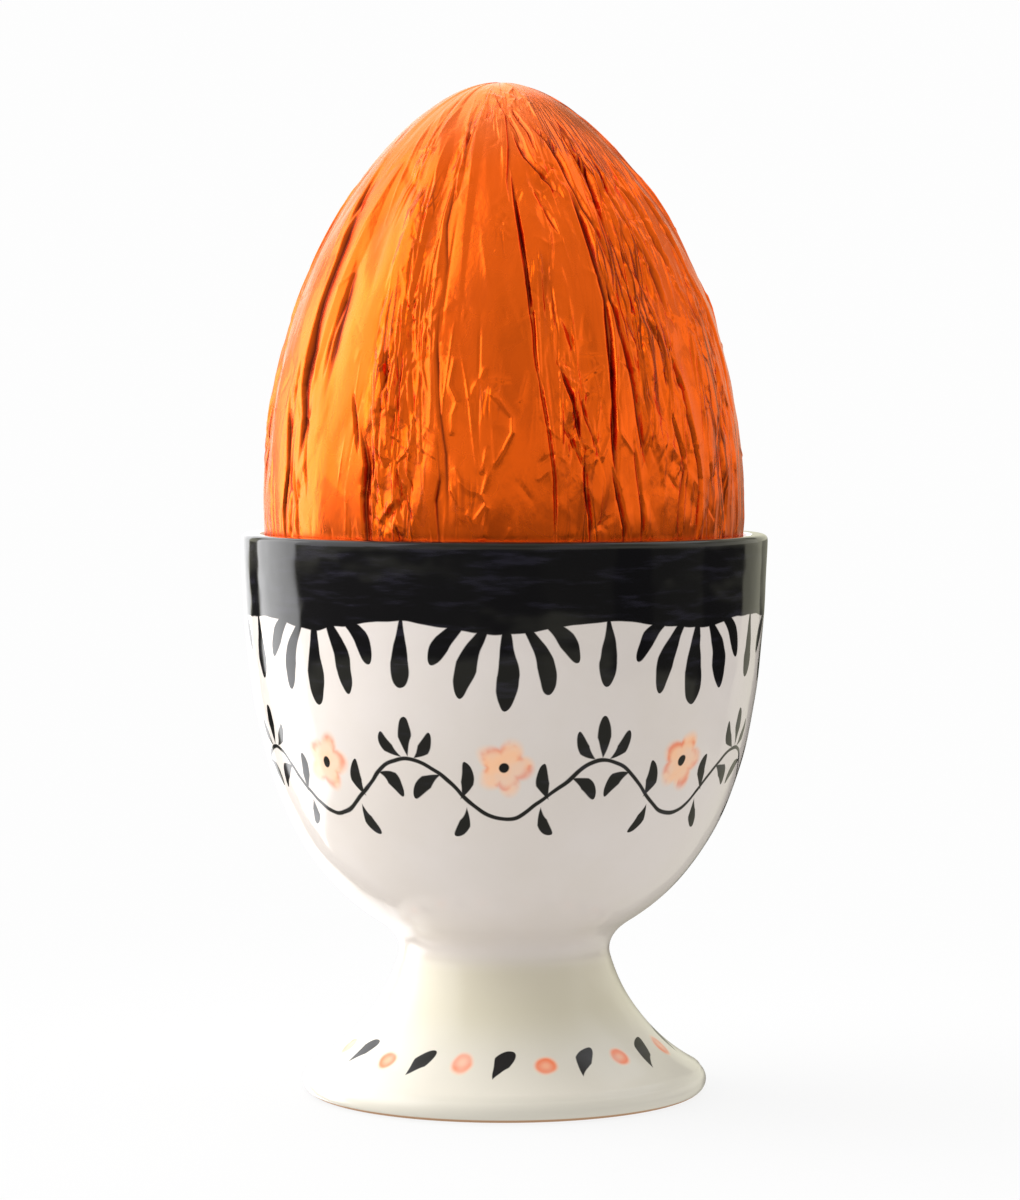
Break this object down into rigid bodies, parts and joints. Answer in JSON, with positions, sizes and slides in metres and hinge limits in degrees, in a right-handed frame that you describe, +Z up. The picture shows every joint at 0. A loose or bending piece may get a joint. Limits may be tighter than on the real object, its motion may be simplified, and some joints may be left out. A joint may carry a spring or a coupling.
{
  "type": "foil-wrapped chocolate egg in an egg cup",
  "caption": "Chocolate egg wrapped in pleated orange foil, standing point up in a footed, glazed ceramic egg cup.",
  "frame": {"origin": "middle of the surface the cup's foot stands on, on the cup's axis", "axes": "+Z up along the cup's axis, towards the egg's tip; -Y is the front"},
  "size_m": [0.0526, 0.0526, 0.1008],
  "materials": {
    "orange_foil": "orange lacquered aluminium foil, pleated and finely creased, half gloss",
    "glazed_cup": "glossy ivory glaze, hand-painted with a black band and leaves, a vine of peach blossoms and a ring of leaves and dots round the foot"
  },
  "bodies": {
    "root": {"egg_cup": "glazed_cup", "foil_egg": "orange_foil"}
  },
  "joints": []
}
